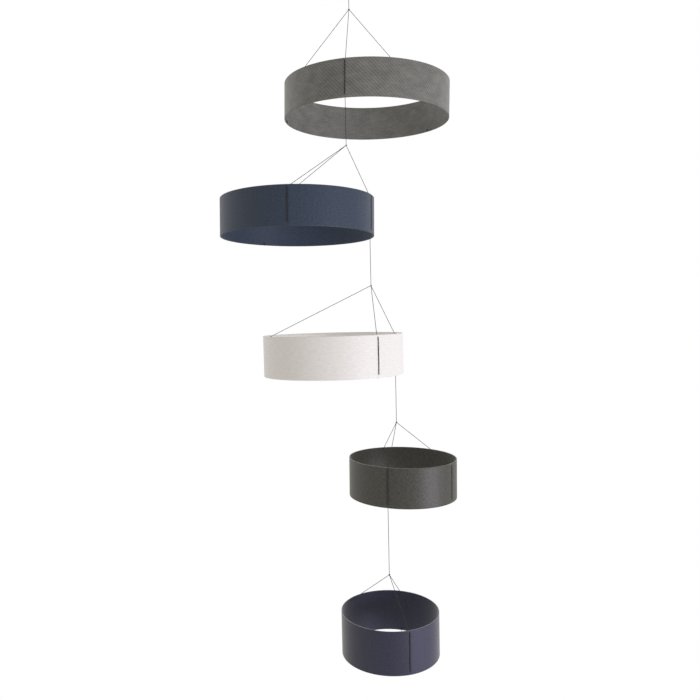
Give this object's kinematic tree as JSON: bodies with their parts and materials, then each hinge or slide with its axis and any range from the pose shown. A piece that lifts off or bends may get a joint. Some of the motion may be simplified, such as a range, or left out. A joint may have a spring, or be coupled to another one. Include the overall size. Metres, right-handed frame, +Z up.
{
  "type": "hanging mobile",
  "caption": "Hanging mobile of fabric-covered open hoops that get smaller downwards, each slung on threads from a knot under the hoop above and set off to one side of it.",
  "frame": {"origin": "inside top of the tied loop that hangs over a ceiling hook", "axes": "+Z up, against gravity; the front, from which the first hoop's joined ends show, faces -Y; +X to the right seen from the front"},
  "size_m": [0.6223, 0.6795, 1.6797],
  "materials": {
    "grey_fabric": "grey twill over a stiff strip, matt, cut edges",
    "navy_fabric": "navy wool felt over a stiff strip, matt, cut edges",
    "white_fabric": "natural white slub silk over a stiff strip, soft sheen",
    "charcoal_fabric": "dark olive-grey woven wool over a stiff strip, matt, cut edges",
    "thread": "dark grey twisted linen thread, matt"
  },
  "bodies": {
    "root": {"ceiling_thread": "thread", "hoop_1": "grey_fabric", "hoop_2": "navy_fabric", "hoop_3": "white_fabric", "hoop_4": "charcoal_fabric", "hoop_5": "navy_fabric", "knot_1": "thread", "knot_2": "thread", "knot_3": "thread", "knot_4": "thread", "knot_5": "thread", "sling_thread_1a": "thread", "sling_thread_1b": "thread", "sling_thread_1c": "thread", "sling_thread_2a": "thread", "sling_thread_2b": "thread", "sling_thread_2c": "thread", "sling_thread_3a": "thread", "sling_thread_3b": "thread", "sling_thread_3c": "thread", "sling_thread_4a": "thread", "sling_thread_4b": "thread", "sling_thread_4c": "thread", "sling_thread_5a": "thread", "sling_thread_5b": "thread", "sling_thread_5c": "thread", "stitch_1a": "thread", "stitch_1b": "thread", "stitch_1c": "thread", "stitch_2a": "thread", "stitch_2b": "thread", "stitch_2c": "thread", "stitch_3a": "thread", "stitch_3b": "thread", "stitch_3c": "thread", "stitch_4a": "thread", "stitch_4b": "thread", "stitch_4c": "thread", "stitch_5a": "thread", "stitch_5b": "thread", "stitch_5c": "thread", "drop_thread_1": "thread", "drop_thread_2": "thread", "drop_thread_3": "thread", "drop_thread_4": "thread"}
  },
  "joints": []
}
